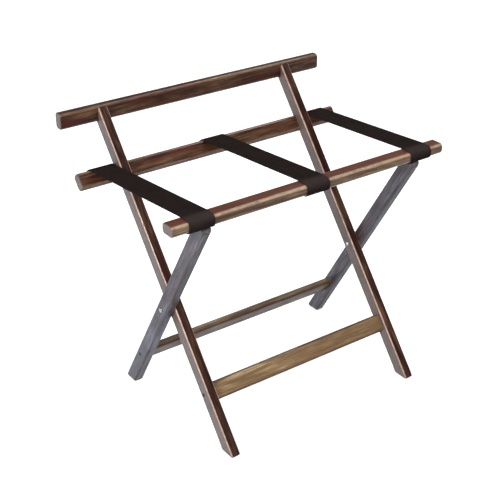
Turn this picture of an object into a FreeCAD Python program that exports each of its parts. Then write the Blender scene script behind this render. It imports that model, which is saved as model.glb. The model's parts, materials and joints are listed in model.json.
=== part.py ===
"""Folding luggage rack with a raised back rail and three webbing straps.

Two crossed pairs of legs turn on one pair of pivot bolts. The long legs lean back, carry the
rear seat rail on their rear edges and the back rail on their tops, and are tied together by the
front stretcher. The short legs lean forward outside them, carry the front seat rail on their
tops, and are tied together by the rear stretcher. Millimetres; +X to the right, +Y to the rear,
+Z up; origin on the floor under the middle of the open rack.
"""
import FreeCAD, Part

import os
import re

import Sketcher

# Driving dimensions: word, value, meaning. Angles are in degrees, all else in millimetres.
SIZES = (
    ("rack_width", 600.0, "length of the three rails, across the rack"),
    ("rail_wide", 32.0, "broad side of a rail"),
    ("rail_thick", 20.5, "thin side of a rail"),
    ("rail_round", 7.5, "rounding along a rail's edges"),
    ("end_round", 2.0, "rounding around a rail's ends"),
    ("leg_wide", 28.4, "broad side of a leg, seen from the side"),
    ("leg_thick", 19.6, "thin side of a leg, across the rack"),
    ("leg_round", 4.0, "rounding along a leg's edges"),
    ("foot_round", 4.0, "rounding around a foot"),
    ("leg_inset", 57.0, "from a rail's end to the short leg's outer face"),
    ("leg_gap", 1.2, "gap between a short leg and a long leg"),
    ("pivot_height", 226.6, "height of the pivot"),
    ("long_lean", 51.5, "long leg's angle from the floor"),
    ("short_lean", 59.3, "short leg's angle from the floor"),
    ("seat_under", 451.9, "height of the front seat rail's underside"),
    ("front_rail_setback", 4.5, "front seat rail's middle behind the short leg's line"),
    ("nose_setback", 2.4, "short leg's cut nose behind the front seat rail's face"),
    ("rear_rail_drop", 22.1, "rear seat rail's middle below the front seat rail's underside"),
    ("rear_rail_letin", 8.9, "depth that the rear seat rail is let into the long leg"),
    ("back_rail_rise", 94.3, "back rail's top above the front seat rail's underside"),
    ("back_rail_setback", 2.4, "back rail's middle behind the long leg's line"),
    ("stretcher_wide", 35.5, "broad side of a stretcher"),
    ("stretcher_thick", 15.0, "thin side of a stretcher"),
    ("stretcher_round", 6.0, "rounding along a stretcher's edges"),
    ("stretcher_setback", 3.2, "stretcher's middle behind the leg's line"),
    ("front_stretcher_drop", 172.5, "front stretcher's middle below the pivot, along the long leg"),
    ("rear_stretcher_drop", 169.5, "rear stretcher's middle below the pivot, along the short leg"),
    ("webbing_wide", 51.0, "width of a strap"),
    ("webbing_thick", 2.0, "thickness of a strap"),
    ("webbing_clear", 0.3, "air between a strap and the wood it goes round"),
    ("strap_inset", 31.0, "from a rail's end to the outer strap's edge, at the front"),
    ("strap_leg_clear", 0.4, "air between an outer strap's edge and the long leg"),
    ("strap_tuck", 14.0, "strap under the front seat rail, from the rail's face"),
    ("strap_tail", 19.0, "strap down the rear seat rail's back, past the rounded edge"),
    ("bolt_across", 6.0, "pivot bolt's shank and the cap nut's sleeve"),
    ("bolt_thread", 4.0, "pivot bolt's threaded end"),
    ("bolt_head", 8.6, "heads of the pivot bolt and of its cap nut"),
    ("bolt_head_thick", 1.8, "height of those heads"),
    ("sleeve_long", 14.0, "length of the cap nut's sleeve"),
    ("thread_long", 10.0, "length of the bolt's threaded end"),
    ("running_clear", 0.05, "radial clearance of the pivot"),
    ("washer_across", 15.0, "spacing washer between the legs"),
    ("screw_head", 7.0, "head of a stretcher screw"),
    ("screw_across", 3.6, "shank of a stretcher screw"),
    ("screw_long", 45.0, "length of a stretcher screw"),
    ("screw_sunk", 1.6, "depth of the screw's head below the leg's face"),
    ("dowel_across", 6.0, "rail dowel"),
    ("dowel_long", 25.0, "length of a rail dowel"),
    ("dowel_slack", 0.6, "spare depth at each end of a dowel's hole"),
    ("tack_head", 6.0, "head of a strap tack"),
    ("tack_head_thick", 1.0, "thickness of a tack's head"),
    ("tack_across", 1.8, "shank of a tack"),
    ("tack_long", 10.0, "length of a tack's shank"),
    ("tack_edge", 7.0, "outer tack from the strap's edge"),
    ("tack_pitch", 12.0, "from one tack to the next"),
    ("hole_clear", 0.05, "radial clearance of screws, dowels and tacks"),
)
WORDS = {word for word, number, meaning in SIZES}

doc = FreeCAD.newDocument("luggage_rack")
sheet = doc.addObject("Spreadsheet::Sheet", "Sizes")
for row, (word, number, meaning) in enumerate(SIZES, 1):
    sheet.set(f"A{row}", word)
    sheet.set(f"B{row}", str(number))
    sheet.set(f"C{row}", meaning)
    sheet.setAlias(f"B{row}", word)
doc.recompute()

nodes = []


# ---- Small helpers ----------------------------------------------------------------------------

def cells(formula):
    """The formula with each driving dimension's word turned into its cell."""
    return re.sub(r"[a-z_]+", lambda m: "Sizes." + m[0] if m[0] in WORDS else m[0], formula)


def size(formula):
    """The number that a formula gives now."""
    return float(sheet.evalExpression(cells(formula).replace("Sizes.", "")))


def bind(thing, **formulas):
    """Ties properties to formulas; a double underscore in a name stands for a dot."""
    for name, formula in formulas.items():
        thing.setExpression(name.replace("__", "."), cells(formula))


def place(thing, x="0", y="0", z="0", turn=None, about=(1, 0, 0)):
    """Puts a piece at a point, turned by an angle about an axis."""
    if turn is not None:
        thing.Placement = FreeCAD.Placement(
            FreeCAD.Vector(), FreeCAD.Rotation(FreeCAD.Vector(*about), size(turn)))
        bind(thing, Placement__Rotation__Angle=turn)
    bind(thing, Placement__Base__x=x, Placement__Base__y=y, Placement__Base__z=z)


def new_body(label):
    body = doc.addObject("PartDesign::Body", label)
    body.Label = label
    nodes.append(body)
    return body


def origin_plane(body, role):
    return next(item for item in body.Origin.OriginFeatures if item.Role == role)


def outline(body, name, corners):
    """A closed sketch of straight sides in the body's YZ plane; each corner is two formulas."""
    sketch = body.newObject("Sketcher::SketchObject", name)
    sketch.AttachmentSupport = [(origin_plane(body, "YZ_Plane"), "")]
    sketch.MapMode = "FlatFace"
    points = [FreeCAD.Vector(size(across), size(up), 0) for across, up in corners]
    for start, end in zip(points, points[1:] + points[:1]):
        sketch.addGeometry(Part.LineSegment(start, end))
    count = len(points)
    for side in range(count):
        sketch.addConstraint(Sketcher.Constraint("Coincident", side, 2, (side + 1) % count, 1))
    for side, (across, up) in enumerate(corners):
        for kind, formula in (("DistanceX", across), ("DistanceY", up)):
            number = sketch.addConstraint(
                Sketcher.Constraint(kind, -1, 1, side, 1, size(formula)))
            sketch.setExpression(f"Constraints[{number}]", cells(formula))
    return sketch


def pad(body, sketch, length):
    """A pad to both sides of the sketch's plane."""
    feature = body.newObject("PartDesign::Pad", sketch.Name + "_pad")
    feature.Profile = sketch
    feature.SideType = "Symmetric"
    bind(feature, Length=length)
    doc.recompute()
    return feature


def pocket(body, sketch, length):
    """A cut to both sides of the sketch's plane."""
    before = body.Shape.Volume
    feature = body.newObject("PartDesign::Pocket", sketch.Name + "_cut")
    feature.Profile = sketch
    feature.SideType = "Symmetric"
    bind(feature, Length=length)
    doc.recompute()
    if not body.Shape.Volume < before:
        raise RuntimeError(f"{sketch.Name} cuts nothing")
    return feature


def soften(body, name, picked, radius):
    """A fillet on the edges of the body's last feature that the test picks."""
    base = body.Tip
    edges = [f"Edge{i}" for i, edge in enumerate(base.Shape.Edges, 1) if picked(edge)]
    if not edges:
        raise RuntimeError(f"{name} finds no edge")
    feature = body.newObject("PartDesign::Fillet", name)
    feature.Base = (base, edges)
    bind(feature, Radius=radius)
    doc.recompute()
    return feature


def runs_along(direction, at_least):
    """Picks straight edges along a direction, longer than a length."""
    def picked(edge):
        if edge.Curve.TypeId != "Part::GeomLine" or edge.Length < at_least:
            return False
        return edge.tangentAt(edge.FirstParameter).cross(direction).Length < 1e-6
    return picked


def lies_at(axis, level):
    """Picks edges that lie wholly at one level of an axis: 0 for X, 1 for Y, 2 for Z."""
    def picked(edge):
        ends = [edge.valueAt(edge.FirstParameter), edge.valueAt(edge.LastParameter)]
        ends.append(edge.valueAt((edge.FirstParameter + edge.LastParameter) / 2))
        return all(abs(point[axis] - level) < 1e-6 for point in ends)
    return picked


def cylinder(body, name, across, length, x="0", y="0", z="0", turn="0", about=(1, 0, 0),
             cut=False):
    """A round bar added to a body, or a round hole cut in it."""
    before = body.Shape.Volume if cut else 0
    kind = "PartDesign::SubtractiveCylinder" if cut else "PartDesign::AdditiveCylinder"
    feature = body.newObject(kind, name)
    place(feature, x, y, z, turn, about)
    bind(feature, Radius=f"({across}) / 2", Height=length)
    doc.recompute()
    if cut and not body.Shape.Volume < before:
        raise RuntimeError(f"{name} cuts nothing")
    return feature


def mirror_across(body, features):
    """Repeats features on the other side of the rack's middle plane."""
    feature = body.newObject("PartDesign::Mirrored", body.Label + "_pair")
    feature.Originals = features
    feature.MirrorPlane = (origin_plane(body, "YZ_Plane"), [""])
    body.Tip = feature
    doc.recompute()
    return feature


# ---- Lines and places shared by several pieces, as formulas about the pivot -------------------
# A leg's line runs through the pivot. "ahead" is a distance from that line towards the leg's
# front face. Heights here are measured from the pivot, and +Y is to the rear.

def long_leg_at_height(up, ahead):
    return f"((({up}) * cos(long_lean) - ({ahead})) / sin(long_lean))"


def short_leg_at_height(up, ahead):
    return f"(-(({up}) * cos(short_lean) + ({ahead})) / sin(short_lean))"


def long_leg_point(along, ahead):
    return (f"(({along}) * cos(long_lean) - ({ahead}) * sin(long_lean))",
            f"(({along}) * sin(long_lean) + ({ahead}) * cos(long_lean))")


def short_leg_point(along, ahead):
    return (f"(-({along}) * cos(short_lean) - ({ahead}) * sin(short_lean))",
            f"(({along}) * sin(short_lean) - ({ahead}) * cos(short_lean))")


FLOOR = "(-pivot_height)"
LEG_FRONT = "(leg_wide / 2)"
LEG_REAR = "(-leg_wide / 2)"
LONG_LEG_X = "(rack_width / 2 - leg_inset - leg_thick * 1.5 - leg_gap)"
SHORT_LEG_X = "(rack_width / 2 - leg_inset - leg_thick / 2)"

BACK_RAIL_UP = "(seat_under + back_rail_rise - rail_wide / 2 - pivot_height)"
BACK_RAIL_Y = f"({long_leg_at_height(BACK_RAIL_UP, '0')} + back_rail_setback)"
BACK_RAIL_FACE = f"({BACK_RAIL_Y} - rail_thick / 2)"
BACK_LEDGE_UP = f"({BACK_RAIL_UP} - rail_wide / 2)"

SEAT_UP = "(seat_under - pivot_height)"
FRONT_RAIL_Y = f"({short_leg_at_height(SEAT_UP, '0')} + front_rail_setback)"
FRONT_RAIL_FACE = f"({FRONT_RAIL_Y} - rail_wide / 2)"

LETIN_FLOOR = "(rear_rail_letin - leg_wide / 2)"
REAR_RAIL_AHEAD = f"({LETIN_FLOOR} - rail_thick / 2)"
REAR_RAIL_RISE = (f"(({SEAT_UP} - rear_rail_drop - {REAR_RAIL_AHEAD} * cos(long_lean))"
                  " / sin(long_lean))")
REAR_RAIL_Y, REAR_RAIL_UP = long_leg_point(REAR_RAIL_RISE, REAR_RAIL_AHEAD)

# The open rack's depth runs from the long foot's rounded toe to the back rail's rear face, and
# the origin is midway.
LONG_TOE_Y = (f"({long_leg_at_height(FLOOR, LEG_FRONT)}"
              " + foot_round * (1 / tan(long_lean / 2) - 1))")
PIVOT_Y = f"(-({LONG_TOE_Y} + {BACK_RAIL_Y} + rail_thick / 2) / 2)"
PIVOT_Z = "pivot_height"

# A piece parallel to a leg is turned about X by the leg's angle off upright.
LONG_TURN = "(long_lean - 90)"
SHORT_TURN = "(90 - short_lean)"

HOLE = "(2 * hole_clear)"

DOWEL_HOLE = f"(dowel_across + {HOLE})"
DOWEL_DEPTH = "(dowel_long / 2 + dowel_slack)"
BACK_DOWEL_RISE = "(rail_wide / 4)"

# A cutter reaches this far past the wood.
OVERCUT = "1"


# ---- Legs -------------------------------------------------------------------------------------
# Each leg is a straight bar, rounded along its edges and around its foot, cut level with the
# floor, and drilled for the pivot and for the screw that holds its stretcher. Its own origin is
# the pivot.

def leg_bar(label, side, across, corners, direction):
    body = new_body(label)
    place(body, x=f"{side} * {across}", y=PIVOT_Y, z=PIVOT_Z)
    pad(body, outline(body, label + "_side", corners), "leg_thick")
    on_floor = lies_at(2, size(FLOOR))
    across_leg = runs_along(FreeCAD.Vector(1, 0, 0), 1.0)
    soften(body, label + "_foot", lambda edge: on_floor(edge) and across_leg(edge), "foot_round")
    soften(body, label + "_edges", runs_along(direction, size("leg_wide * 3")), "leg_round")
    return body


SCREW_HEAD_THICK = "(screw_head / 4)"


def across_leg_hole(body, name, across, y="0", z="0"):
    """A round hole right across the leg."""
    cylinder(body, body.Label + name, across, f"leg_thick + 2 * {OVERCUT}",
             f"-leg_thick / 2 - {OVERCUT}", y, z, "90", (0, 1, 0), cut=True)


def leg_screw_hole(body, side, point):
    """A clearance hole across the leg, with a sunk seat for the head in the outer face."""
    y, z = point
    outer = f"{side} * leg_thick / 2"
    across_leg_hole(body, "_screw_hole", f"screw_across + {HOLE}", y, z)
    cylinder(body, body.Label + "_screw_seat", f"screw_head + 2 * {HOLE}",
             f"screw_sunk + {SCREW_HEAD_THICK}",
             outer, y, z, f"{-side} * 90", (0, 1, 0), cut=True)


def long_leg(label, side):
    direction = FreeCAD.Vector(0, *map(size, long_leg_point("1", "0")))
    corners = (
        (long_leg_at_height(FLOOR, LEG_FRONT), FLOOR),
        (long_leg_at_height(FLOOR, LEG_REAR), FLOOR),
        (long_leg_at_height(BACK_LEDGE_UP, LEG_REAR), BACK_LEDGE_UP),
        (BACK_RAIL_FACE, BACK_LEDGE_UP),
        (BACK_RAIL_FACE,
         f"({BACK_RAIL_FACE} * sin(long_lean) + {LEG_FRONT}) / cos(long_lean)"),
    )
    body = leg_bar(label, side, LONG_LEG_X, corners, direction)
    lower = f"({REAR_RAIL_RISE} - rail_wide / 2)"
    upper = f"({REAR_RAIL_RISE} + rail_wide / 2)"
    beyond = f"({LEG_REAR} - leg_round)"
    pocket(body, outline(body, label + "_letin", (
        long_leg_point(lower, LETIN_FLOOR), long_leg_point(upper, LETIN_FLOOR),
        long_leg_point(upper, beyond), long_leg_point(lower, beyond))),
        f"leg_thick + 2 * {OVERCUT}")
    across_leg_hole(body, "_pivot_hole", "bolt_across + 2 * running_clear")
    leg_screw_hole(body, side, long_leg_point("-front_stretcher_drop", "-stretcher_setback"))
    y, z = long_leg_point(REAR_RAIL_RISE, f"({LETIN_FLOOR} + {DOWEL_DEPTH})")
    cylinder(body, label + "_seat_dowel_hole", DOWEL_HOLE, f"{DOWEL_DEPTH} + {OVERCUT}",
             "0", y, z, "long_lean - 180", cut=True)
    cylinder(body, label + "_back_dowel_hole", DOWEL_HOLE, f"{DOWEL_DEPTH} + {OVERCUT}",
             "0", f"{BACK_RAIL_FACE} - {DOWEL_DEPTH}", f"{BACK_LEDGE_UP} + {BACK_DOWEL_RISE}",
             "-90", cut=True)
    return body


def short_leg(label, side):
    direction = FreeCAD.Vector(0, *map(size, short_leg_point("1", "0")))
    nose = f"({FRONT_RAIL_FACE} + nose_setback)"
    corners = (
        (short_leg_at_height(FLOOR, LEG_FRONT), FLOOR),
        (short_leg_at_height(FLOOR, LEG_REAR), FLOOR),
        (short_leg_at_height(SEAT_UP, LEG_REAR), SEAT_UP),
        (nose, SEAT_UP),
        (nose, f"-({nose} * sin(short_lean) + {LEG_FRONT}) / cos(short_lean)"),
    )
    body = leg_bar(label, side, SHORT_LEG_X, corners, direction)
    tuck_end = f"({FRONT_RAIL_FACE} + strap_tuck + 2 * webbing_clear)"
    tuck_floor = f"({SEAT_UP} - webbing_thick - 2 * webbing_clear)"
    pocket(body, outline(body, label + "_strap_rebate", (
        (f"{nose} - {OVERCUT}", tuck_floor), (tuck_end, tuck_floor),
        (tuck_end, f"{SEAT_UP} + {OVERCUT}"),
        (f"{nose} - {OVERCUT}", f"{SEAT_UP} + {OVERCUT}"))), f"leg_thick + 2 * {OVERCUT}")
    across_leg_hole(body, "_pivot_hole", "bolt_across + 2 * running_clear")
    leg_screw_hole(body, side, short_leg_point("-rear_stretcher_drop", "-stretcher_setback"))
    cylinder(body, label + "_dowel_hole", DOWEL_HOLE, f"{DOWEL_DEPTH} + {OVERCUT}",
             "0", FRONT_DOWEL_Y, f"{SEAT_UP} - {DOWEL_DEPTH}", cut=True)
    return body


# The front rail's dowels stand behind the tucked strap ends, midway to the leg's rear edge.
FRONT_DOWEL_Y = (f"(({FRONT_RAIL_FACE} + strap_tuck"
                 f" + {short_leg_at_height(SEAT_UP, LEG_REAR)}) / 2)")

for side_name, side in (("left", -1), ("right", 1)):
    long_leg("long_leg_" + side_name, side)
    short_leg("short_leg_" + side_name, side)


# ---- Rails and stretchers ---------------------------------------------------------------------
# Each is a straight bar across the rack with rounded edges. Its own origin is its middle, its
# broad side stands along its own Z and its thin side along its own Y.

def cross_bar(label, length, thin, broad, rounding):
    body = new_body(label)
    half_thin = f"({thin}) / 2"
    half_broad = f"({broad}) / 2"
    corners = ((f"-{half_thin}", f"-{half_broad}"), (half_thin, f"-{half_broad}"),
               (half_thin, half_broad), (f"-{half_thin}", half_broad))
    pad(body, outline(body, label + "_section", corners), length)
    soften(body, label + "_edges", runs_along(FreeCAD.Vector(1, 0, 0), 1.0), rounding)
    return body


def rail(label):
    body = cross_bar(label, "rack_width", "rail_thick", "rail_wide", "rail_round")
    left_end = lies_at(0, size("-rack_width / 2"))
    right_end = lies_at(0, size("rack_width / 2"))
    soften(body, label + "_ends", lambda edge: left_end(edge) or right_end(edge), "end_round")
    return body


def drill_pair(body, name, across, depth, x, y, z, turn):
    """The same hole left and right of the rack's middle."""
    for side_name, side in (("left", -1), ("right", 1)):
        cylinder(body, f"{body.Label}_{name}_{side_name}", across, depth, f"{side} * {x}",
                 y, z, turn, cut=True)


TACK_HOLE = f"tack_across + {HOLE}"

# Tacks stand in pairs: one pair under the middle strap, and two in each outer strap's outer part.
TACK_X = (
    "tack_pitch / 2",
    "(rack_width / 2 - strap_inset - tack_edge)",
    "(rack_width / 2 - strap_inset - tack_edge - tack_pitch)",
)
FRONT_TACK_Y = f"({FRONT_RAIL_FACE} + rail_round + (strap_tuck - rail_round) / 2)"
TACK_GRIP = "(tack_long - webbing_thick - webbing_clear)"
REAR_TACK_DROP = "(rail_round + strap_tail / 2)"


def rail_dowel_holes(body, x, z):
    """Holes for the dowels that join the rail's face to the legs."""
    drill_pair(body, "dowel_hole", DOWEL_HOLE, f"{DOWEL_DEPTH} + {OVERCUT}", x,
               f"-rail_thick / 2 - {OVERCUT}", z, "-90")


def tack_holes(body, y, z, turn):
    for number, x in enumerate(TACK_X, 1):
        drill_pair(body, f"tack_hole_{number}", TACK_HOLE, f"{TACK_GRIP} + {OVERCUT}",
                   x, y, z, turn)


def front_seat_rail():
    """Lies flat on the short legs: its own Z points forward and its own Y points up."""
    body = rail("front_seat_rail")
    place(body, y=f"{PIVOT_Y} + {FRONT_RAIL_Y}", z="seat_under + rail_thick / 2", turn="90")
    rail_dowel_holes(body, SHORT_LEG_X, f"{FRONT_RAIL_Y} - {FRONT_DOWEL_Y}")
    tack_holes(body, f"-rail_thick / 2 - {OVERCUT}", f"{FRONT_RAIL_Y} - {FRONT_TACK_Y}", "-90")
    return body


def rear_seat_rail():
    """Let into the long legs' rear edges, parallel to them."""
    body = rail("rear_seat_rail")
    place(body, y=f"{PIVOT_Y} + {REAR_RAIL_Y}", z=f"{PIVOT_Z} + {REAR_RAIL_UP}",
          turn=LONG_TURN)
    rail_dowel_holes(body, LONG_LEG_X, "0")
    tack_holes(body, f"rail_thick / 2 + {OVERCUT}", f"rail_wide / 2 - {REAR_TACK_DROP}", "90")
    return body


def back_rail():
    """Stands upright on the ledges cut in the long legs' tops."""
    body = rail("back_rail")
    place(body, y=f"{PIVOT_Y} + {BACK_RAIL_Y}", z=f"{PIVOT_Z} + {BACK_RAIL_UP}")
    rail_dowel_holes(body, LONG_LEG_X, f"{BACK_DOWEL_RISE} - rail_wide / 2")
    return body


def stretcher(label, leg_x, turn, y, up):
    body = cross_bar(label, f"2 * {leg_x} - leg_thick", "stretcher_thick", "stretcher_wide",
                     "stretcher_round")
    place(body, y=f"{PIVOT_Y} + {y}", z=f"{PIVOT_Z} + {up}", turn=turn)
    for side_name, side in (("left", -1), ("right", 1)):
        cylinder(body, f"{label}_screw_hole_{side_name}", f"screw_across + {HOLE}",
                 f"screw_long - leg_thick + screw_sunk + 2 * {OVERCUT}",
                 f"{side} * ({leg_x} - leg_thick / 2 + {OVERCUT})",
                 turn=f"{-side} * 90", about=(0, 1, 0), cut=True)
    return body


front_seat_rail()
rear_seat_rail()
back_rail()
stretcher("front_stretcher", LONG_LEG_X, LONG_TURN,
          *long_leg_point("-front_stretcher_drop", "-stretcher_setback"))
stretcher("rear_stretcher", SHORT_LEG_X, SHORT_TURN,
          *short_leg_point("-rear_stretcher_drop", "-stretcher_setback"))


# ---- Pivot hardware ---------------------------------------------------------------------------
# A shouldered bolt goes in from the short leg's outer face. Its thread ends in a cap nut whose
# sleeve goes in from the long leg's inner face. A washer keeps the legs apart. Each piece's own
# X points outwards from the rack.

OUTER_FACE = f"({SHORT_LEG_X} + leg_thick / 2)"
INNER_FACE = f"({LONG_LEG_X} - leg_thick / 2)"
THROUGH = "(2 * leg_thick + leg_gap)"
HEAD_DOME = "(bolt_head_thick * 0.7)"


def outward(body, side, x):
    turn = "0" if side > 0 else "180"
    place(body, f"{side} * {x}", PIVOT_Y, PIVOT_Z, turn, (0, 0, 1))


def rim_at(level, across):
    """Picks the round edge of a head at one distance along X."""
    def picked(edge):
        if edge.Curve.TypeId != "Part::GeomCircle":
            return False
        return abs(edge.Curve.Center.x - level) < 1e-6 and abs(edge.Curve.Radius - across / 2) < 1e-6
    return picked


for side_name, side in (("left", -1), ("right", 1)):
    bolt = new_body("pivot_bolt_" + side_name)
    outward(bolt, side, OUTER_FACE)
    cylinder(bolt, bolt.Label + "_head", "bolt_head", "bolt_head_thick", turn="90", about=(0, 1, 0))
    cylinder(bolt, bolt.Label + "_shank", "bolt_across", f"{THROUGH} - sleeve_long",
             turn="-90", about=(0, 1, 0))
    cylinder(bolt, bolt.Label + "_thread", "bolt_thread",
             f"{THROUGH} - sleeve_long + thread_long", turn="-90", about=(0, 1, 0))
    soften(bolt, bolt.Label + "_rim", rim_at(size("bolt_head_thick"), size("bolt_head")),
           HEAD_DOME)

    nut = new_body("pivot_nut_" + side_name)
    outward(nut, side, INNER_FACE)
    cylinder(nut, nut.Label + "_head", "bolt_head", "bolt_head_thick", "-bolt_head_thick",
             turn="90", about=(0, 1, 0))
    cylinder(nut, nut.Label + "_sleeve", "bolt_across", "sleeve_long", turn="90", about=(0, 1, 0))
    soften(nut, nut.Label + "_rim", rim_at(-size("bolt_head_thick"), size("bolt_head")),
           HEAD_DOME)
    cylinder(nut, nut.Label + "_thread", f"bolt_thread + {HOLE}", f"thread_long + 2 * {OVERCUT}",
             f"sleeve_long - thread_long - {OVERCUT}", turn="90", about=(0, 1, 0), cut=True)

    washer = new_body("pivot_washer_" + side_name)
    outward(washer, side, f"({LONG_LEG_X} + leg_thick / 2)")
    cylinder(washer, washer.Label + "_disc", "washer_across", "leg_gap", turn="90", about=(0, 1, 0))
    cylinder(washer, washer.Label + "_hole", "bolt_across + 2 * running_clear",
             f"leg_gap + 2 * {OVERCUT}", f"-{OVERCUT}", turn="90", about=(0, 1, 0), cut=True)


# ---- Stretcher screws -------------------------------------------------------------------------
# One screw holds each end of a stretcher, its head sunk in the leg's outer face. Both screws of
# a stretcher are one group; the group's own origin is the stretcher's middle.

def stretcher_screws(label, leg_x, turn, y, up):
    body = new_body(label)
    place(body, y=f"{PIVOT_Y} + {y}", z=f"{PIVOT_Z} + {up}", turn=turn)
    face = f"({leg_x} + leg_thick / 2 - screw_sunk)"
    head = cylinder(body, label + "_head", "screw_head", SCREW_HEAD_THICK, face,
                    turn="-90", about=(0, 1, 0))
    shank = cylinder(body, label + "_shank", "screw_across", "screw_long", face,
                     turn="-90", about=(0, 1, 0))
    mirror_across(body, [head, shank])
    return body


stretcher_screws("front_stretcher_screws", LONG_LEG_X, LONG_TURN,
                 *long_leg_point("-front_stretcher_drop", "-stretcher_setback"))
stretcher_screws("rear_stretcher_screws", SHORT_LEG_X, SHORT_TURN,
                 *short_leg_point("-rear_stretcher_drop", "-stretcher_setback"))


# ---- Rail dowels ------------------------------------------------------------------------------
# Two hidden dowels join each rail to its legs, half in the leg and half in the rail. The group's
# own origin is midway between the two dowels, and they run along its own Z.

def rail_dowels(label, leg_x, turn, y, up):
    body = new_body(label)
    place(body, y=f"{PIVOT_Y} + {y}", z=f"{PIVOT_Z} + {up}", turn=turn)
    dowel = cylinder(body, label + "_dowel", "dowel_across", "dowel_long", leg_x, "0",
                     "-dowel_long / 2")
    mirror_across(body, [dowel])
    return body


rail_dowels("front_rail_dowels", SHORT_LEG_X, "0", FRONT_DOWEL_Y, SEAT_UP)
rail_dowels("rear_rail_dowels", LONG_LEG_X, "long_lean",
            *long_leg_point(REAR_RAIL_RISE, LETIN_FLOOR))
rail_dowels("back_rail_dowels", LONG_LEG_X, "90", BACK_RAIL_FACE,
            f"{BACK_LEDGE_UP} + {BACK_DOWEL_RISE}")


# ---- Straps -----------------------------------------------------------------------------------
# Each strap is one taut band of webbing. It starts under the front seat rail, goes round the
# rail's front and over its top, runs straight to the rear seat rail, and goes over that rail's
# top edge and down its back. Seen from the side it is a belt round five rounded rail edges, which
# all lie on the right of its path, so each straight run is parallel to the line between the
# centres of the two edges that it joins.

def strap_side_face():
    """The strap's side outline as a face in the YZ plane, about the pivot."""
    rounding = size("rail_round")
    half_broad = size("rail_wide / 2") - rounding
    half_thin = size("rail_thick / 2") - rounding
    vector = FreeCAD.Vector
    front = vector(0, size(FRONT_RAIL_Y), size(f"{SEAT_UP} + rail_thick / 2"))
    rear = vector(0, size(REAR_RAIL_Y), size(REAR_RAIL_UP))
    up_leg = vector(0, *map(size, long_leg_point("1", "0")))
    ahead = vector(0, *map(size, long_leg_point("0", "1")))
    centres = (
        front + vector(0, -half_broad, -half_thin),
        front + vector(0, -half_broad, half_thin),
        front + vector(0, half_broad, half_thin),
        rear + up_leg * half_broad + ahead * half_thin,
        rear + up_leg * half_broad - ahead * half_thin,
    )
    headings = [vector(0, -1, 0)]
    headings += [(after - before).normalize() for before, after in zip(centres, centres[1:])]
    headings.append(up_leg * -1)
    before_first = headings[0] * -(size("strap_tuck") - rounding)
    after_last = headings[-1] * size("strap_tail")

    def left_of(heading):
        return vector(0, -heading.z, heading.y)

    def belt(radius):
        """One face of the strap, as edges in order from the front end to the rear end."""
        edges = []
        last = centres[0] + left_of(headings[0]) * radius + before_first
        for centre, coming, going in zip(centres, headings, headings[1:]):
            entry = centre + left_of(coming) * radius
            leave = centre + left_of(going) * radius
            middle = centre + (left_of(coming) + left_of(going)).normalize() * radius
            edges.append(Part.LineSegment(last, entry).toShape())
            edges.append(Part.Arc(entry, middle, leave).toShape())
            last = leave
        edges.append(Part.LineSegment(last, last + after_last).toShape())
        return edges

    inner = belt(rounding + size("webbing_clear"))
    outer = belt(rounding + size("webbing_clear + webbing_thick"))
    caps = [Part.LineSegment(inner[end].Vertexes[end].Point, outer[end].Vertexes[end].Point)
            for end in (0, -1)]
    loop = inner + [caps[1].toShape()] + outer[::-1] + [caps[0].toShape()]
    return Part.Face(Part.Wire(Part.__sortEdges__(loop)))


def tack_frames():
    """Where tacks go through a strap, about the pivot: a point on the rail, and the way out."""
    y, up = long_leg_point(f"{REAR_RAIL_RISE} + rail_wide / 2 - {REAR_TACK_DROP}",
                           f"{REAR_RAIL_AHEAD} - rail_thick / 2")
    behind = long_leg_point("0", "-1")
    return (
        (FreeCAD.Vector(0, size(FRONT_TACK_Y), size(SEAT_UP)), FreeCAD.Vector(0, 0, -1)),
        (FreeCAD.Vector(0, size(y), size(up)), FreeCAD.Vector(0, *map(size, behind))),
    )


def strap(label, side, tack_places):
    """One strap; an outer strap drifts outwards a little to the rear, past the long leg."""
    half = size("webbing_wide / 2")
    front_x = side * size("rack_width / 2 - strap_inset - webbing_wide / 2")
    beside_leg_x = side * size(f"{LONG_LEG_X} + leg_thick / 2 + strap_leg_clear + webbing_wide / 2")
    front_y = size(FRONT_RAIL_Y)
    leg_front_y = size(long_leg_at_height(f"{SEAT_UP} - rail_wide", LEG_FRONT))
    drift = (beside_leg_x - front_x) / (leg_front_y - front_y)

    band = strap_side_face()
    band.translate(FreeCAD.Vector(-2 * half, 0, 0))
    band = band.extrude(FreeCAD.Vector(4 * half, 0, 0))
    box = band.BoundBox
    spare = size(OVERCUT)
    near, far, low = box.YMin - spare, box.YMax + spare, box.ZMin - spare
    plan = [FreeCAD.Vector(drift * (y - front_y) + edge, y, low)
            for y, edge in ((near, -half), (near, half), (far, half), (far, -half))]
    edges = Part.Face(Part.makePolygon(plan + plan[:1])).extrude(
        FreeCAD.Vector(0, 0, box.ZLength + 2 * spare))
    shape = band.common(edges)

    through = size("2 * (webbing_thick + webbing_clear)")
    for point, way_out in tack_frames():
        for x in tack_places:
            at = point + FreeCAD.Vector(x - front_x, 0, 0)
            shape = shape.cut(Part.makeCylinder(size(TACK_HOLE) / 2, through, at, way_out))
    feature = doc.addObject("Part::Feature", label)
    feature.Label = label
    feature.Shape = shape
    feature.Placement = FreeCAD.Placement(
        FreeCAD.Vector(front_x, size(PIVOT_Y), size(PIVOT_Z)), FreeCAD.Rotation())
    nodes.append(feature)
    return feature


middle_tack, *outer_tacks = (size(x) for x in TACK_X)
strap("strap_left", -1, [-x for x in outer_tacks])
strap("strap_middle", 0, [-middle_tack, middle_tack])
strap("strap_right", 1, outer_tacks)


# ---- Strap tacks ------------------------------------------------------------------------------
# Flat-headed tacks hold the strap ends. All the tacks in one rail are one group; the group's own
# origin is on the rail's face, and its own Z points out of the wood.

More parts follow.
